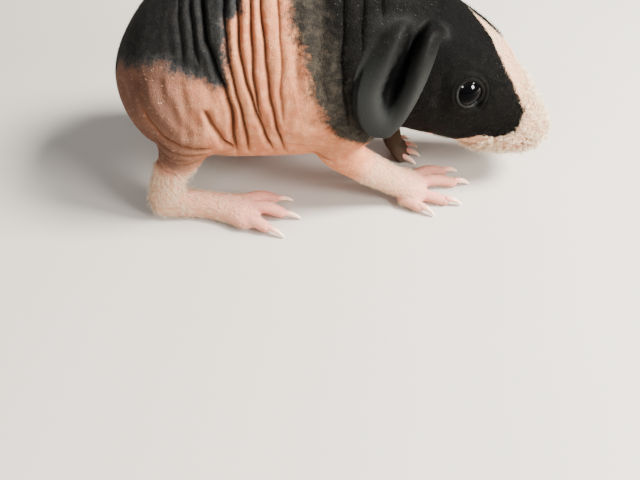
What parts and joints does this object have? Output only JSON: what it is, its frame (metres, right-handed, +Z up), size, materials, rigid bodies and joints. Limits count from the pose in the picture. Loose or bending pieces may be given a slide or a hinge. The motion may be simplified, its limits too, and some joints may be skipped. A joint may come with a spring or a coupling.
{
  "type": "skinny pig pup",
  "caption": "Nearly hairless guinea pig pup as a life-size still model, hunched with lowered muzzle, folded flank skin, drooping ears and long feet.",
  "frame": {"origin": "on the floor, under the middle of the model's bounding box", "axes": "+X the way the animal faces, +Y its left side, +Z up"},
  "size_m": [0.1413, 0.0734, 0.0801],
  "materials": {
    "skin_tan": "satin",
    "skin_black": "satin",
    "ear_black": "satin",
    "foot_pink": "matte",
    "eye_black": "gloss",
    "claw_horn": "satin"
  },
  "bodies": {
    "root": {"torso": "skin_tan", "neck": "skin_black", "head": "skin_black", "ear_right": "ear_black", "ear_left": "ear_black", "eye_right": "eye_black", "eye_left": "eye_black", "foreleg_right": "skin_tan", "foreleg_left": "skin_tan", "forefoot_right": "foot_pink", "forefoot_left": "foot_pink", "hindleg_right": "skin_tan", "hindleg_left": "skin_tan", "hindfoot_right": "foot_pink", "hindfoot_left": "foot_pink", "claw_fore_right_1": "claw_horn", "claw_fore_right_2": "claw_horn", "claw_fore_right_3": "claw_horn", "claw_fore_right_4": "claw_horn", "claw_fore_left_1": "claw_horn", "claw_fore_left_2": "claw_horn", "claw_fore_left_3": "claw_horn", "claw_fore_left_4": "claw_horn", "claw_hind_right_1": "claw_horn", "claw_hind_right_2": "claw_horn", "claw_hind_right_3": "claw_horn", "claw_hind_left_1": "claw_horn", "claw_hind_left_2": "claw_horn", "claw_hind_left_3": "claw_horn"}
  },
  "joints": []
}
